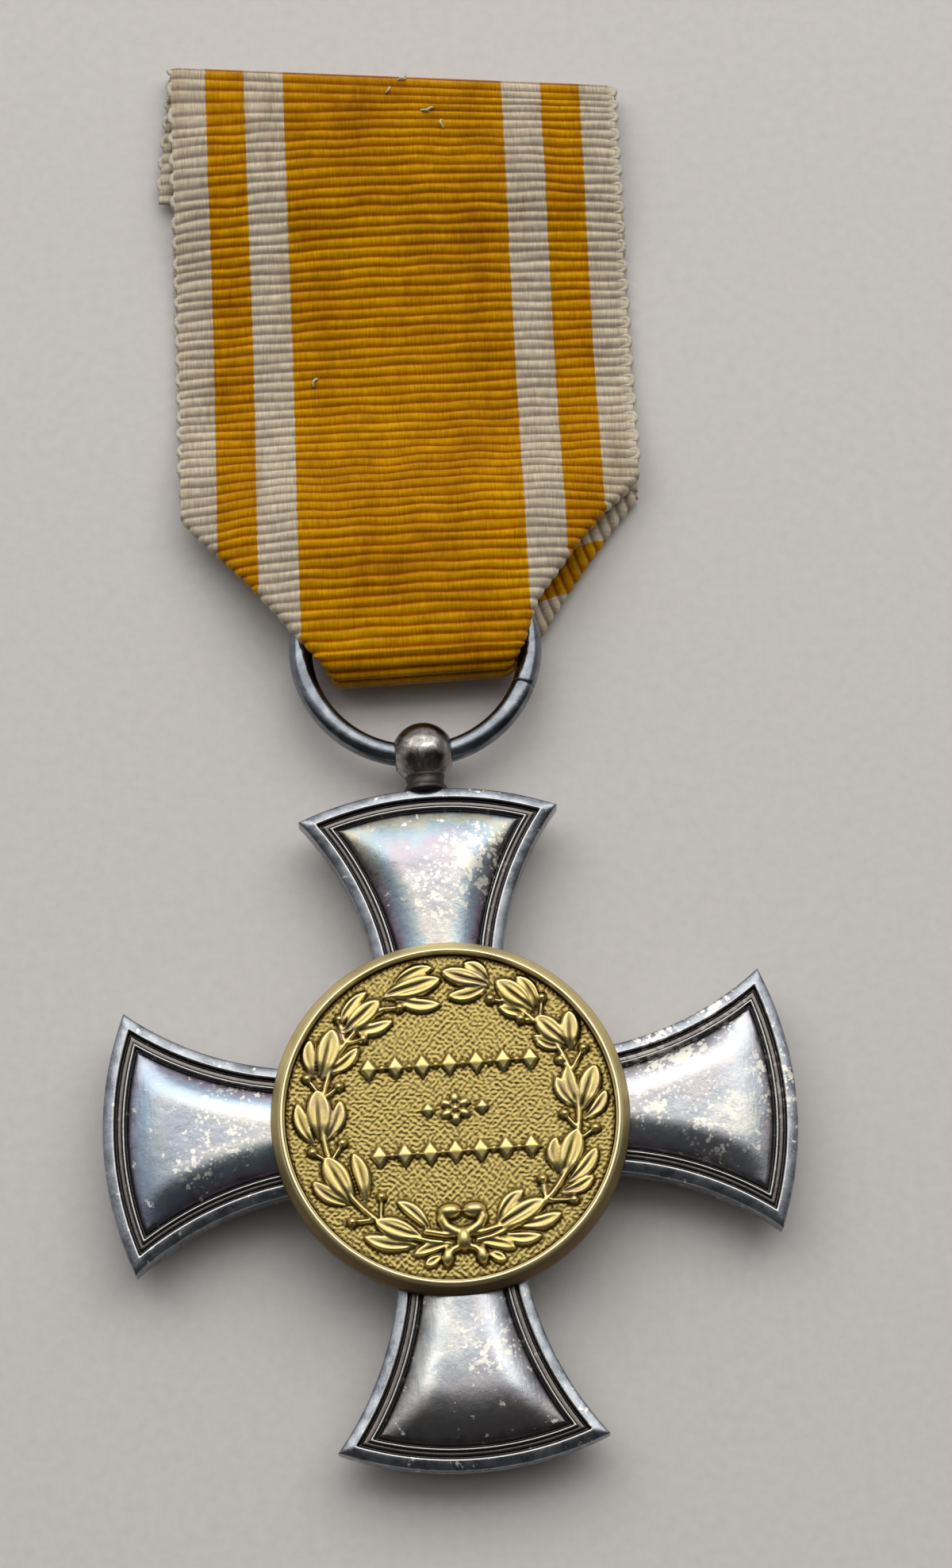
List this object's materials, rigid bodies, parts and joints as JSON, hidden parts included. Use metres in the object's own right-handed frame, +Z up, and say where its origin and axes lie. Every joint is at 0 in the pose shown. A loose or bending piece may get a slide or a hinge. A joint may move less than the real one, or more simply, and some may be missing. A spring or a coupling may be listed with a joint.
{
  "type": "medal",
  "caption": "Silver cross with hollow-sided arms and a gilt wreathed centre, hung by a ball eyelet and a ring from a folded striped ribbon.",
  "frame": {"origin": "middle of the cross's back face, on the surface it lies on", "axes": "+Z up out of the medal's front, +Y from the cross to the ribbon, +X to the right"},
  "size_m": [0.04, 0.089, 0.005],
  "materials": {
    "silver": "toned, rubbed bright on the high spots",
    "gilt": "matt gilding, dark in the recesses",
    "ring_wire": "darkened silver",
    "ribbon": "ribbed silk with a sheen, striped lengthwise",
    "thread": "thread ends"
  },
  "bodies": {
    "cross": {"cross_front_shell": "silver", "cross_back_shell": "silver", "front_medallion": "gilt", "front_bezel": "gilt", "back_medallion": "gilt", "back_bezel": "gilt", "centre_rivet": "gilt", "suspension_foot": "silver", "suspension_ball": "silver"},
    "ring": {"suspension_ring": "ring_wire"},
    "ribbon_loop": {"ribbon_lower": "ribbon"},
    "ribbon_strap": {"ribbon_upper": "ribbon", "ribbon_threads": "thread"}
  },
  "joints": [
    {"name": "ring_swing", "type": "hinge", "parent": "cross", "child": "ring", "pos_m": [0, 0.0224, 0.0025], "axis": [1, 0, 0], "range_deg": [-125, 125]},
    {"name": "loop_slide", "type": "slide", "parent": "ring", "child": "ribbon_loop", "axis": [0, 0.999, -0.0436], "range_m": [-0.001, 0.003]},
    {"name": "ribbon_bend", "type": "hinge", "parent": "ribbon_loop", "child": "ribbon_strap", "pos_m": [0, 0.04108, 0.00168], "axis": [1, 0, 0], "range_deg": [-75, 75]}
  ]
}
